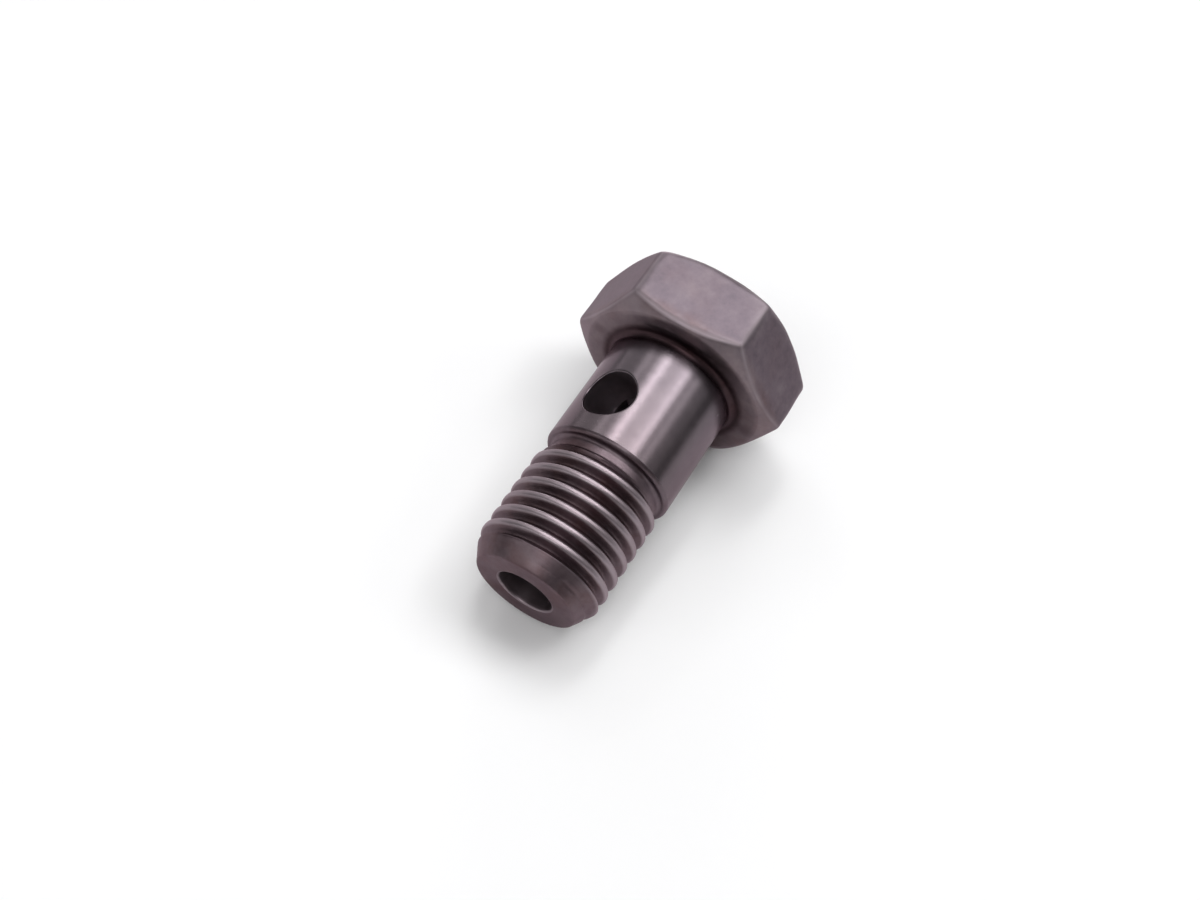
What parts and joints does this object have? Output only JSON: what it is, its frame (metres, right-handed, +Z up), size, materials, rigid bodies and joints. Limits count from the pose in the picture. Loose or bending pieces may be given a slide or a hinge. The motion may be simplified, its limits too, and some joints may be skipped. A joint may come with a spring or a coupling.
{
  "type": "banjo bolt",
  "caption": "Hollow hexagon bolt that clamps a banjo fitting and carries fluid from its threaded end out through a hole across its plain shank.",
  "frame": {"origin": "centre of the bearing face under the head, on the bolt's axis; the plane it lies on is 5.902 mm below", "axes": "+Z up as the bolt lies on its side; +X towards the tip, level; the bolt's own axis dips 8.05 degrees below +X, so that the head's lower edge and the end of the thread both touch the plane it lies on"},
  "size_m": [0.0216, 0.0138, 0.0125],
  "materials": {
    "steel": "turned and tumbled steel, satin, faintly mottled, bright where edges are worn"
  },
  "bodies": {
    "root": {"banjo_bolt": "steel"}
  },
  "joints": []
}
